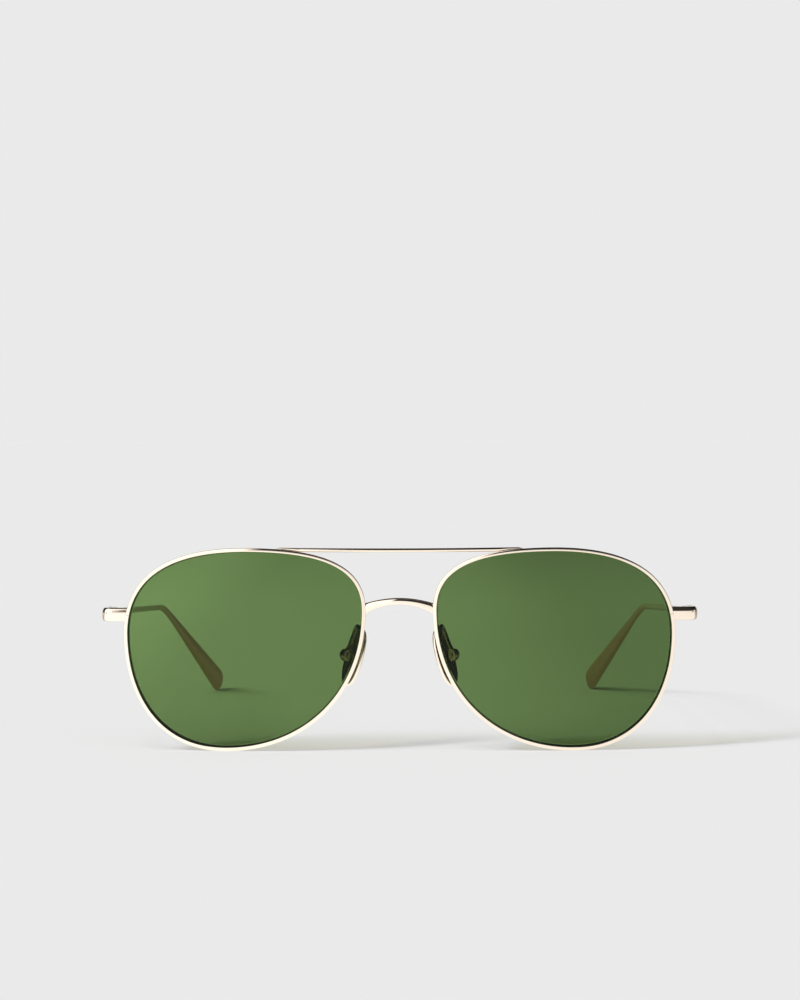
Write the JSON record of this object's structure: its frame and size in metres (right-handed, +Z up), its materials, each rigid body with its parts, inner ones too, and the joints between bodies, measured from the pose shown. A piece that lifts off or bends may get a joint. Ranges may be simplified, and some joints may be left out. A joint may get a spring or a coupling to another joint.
{
  "type": "aviator sunglasses",
  "caption": "Wire-rimmed aviator sunglasses with teardrop green lenses, a bridge and top bar, folding temples with paddle tips and rocking nose pads.",
  "frame": {"origin": "on the table, under the middle of the open glasses' box", "axes": "+X towards the wearer's left, +Y from the lenses back along the temples, +Z up"},
  "size_m": [0.1438, 0.1501, 0.0493],
  "materials": {
    "frame": "polished pale gold plating",
    "screw": "polished pale gold plating, fine turning marks",
    "pad": "polished pale gold plating",
    "lens": "clear green tint, polished"
  },
  "bodies": {
    "front": {"left_rim": "frame", "right_rim": "frame", "left_lens": "lens", "right_lens": "lens", "nose_bridge": "frame", "top_bar": "frame", "left_end_piece": "frame", "right_end_piece": "frame", "left_rim_lock_upper": "frame", "right_rim_lock_upper": "frame", "left_rim_lock_lower": "frame", "right_rim_lock_lower": "frame", "left_rim_lock_screw": "screw", "right_rim_lock_screw": "screw", "left_front_hinge": "frame", "right_front_hinge": "frame", "left_hinge_screw": "screw", "right_hinge_screw": "screw", "left_pad_arm": "frame", "right_pad_arm": "frame", "left_pad_box": "frame", "right_pad_box": "frame", "left_pad_screw": "screw", "right_pad_screw": "screw"},
    "left_temple": {"left_temple": "frame", "left_temple_hinge": "frame"},
    "right_temple": {"right_temple": "frame", "right_temple_hinge": "frame"},
    "left_pad": {"left_nose_pad": "pad"},
    "right_pad": {"right_nose_pad": "pad"}
  },
  "joints": [
    {"name": "left_temple_fold", "type": "hinge", "parent": "front", "child": "left_temple", "pos_m": [0.06929, -0.06033, 0.03305], "axis": [0, 0, 1], "range_deg": [0, 84]},
    {"name": "right_temple_fold", "type": "hinge", "parent": "front", "child": "right_temple", "pos_m": [-0.06929, -0.06033, 0.03305], "axis": [0, 0, -1], "range_deg": [0, 80.5]},
    {"name": "left_pad_rock", "type": "hinge", "parent": "front", "child": "left_pad", "pos_m": [0.0128, -0.06746, 0.02301], "axis": [0.5736, 0.8192, 0], "range_deg": [-8, 8]},
    {"name": "right_pad_rock", "type": "hinge", "parent": "front", "child": "right_pad", "pos_m": [-0.0128, -0.06746, 0.02301], "axis": [0.5736, -0.8192, 0], "range_deg": [-8, 8]}
  ]
}
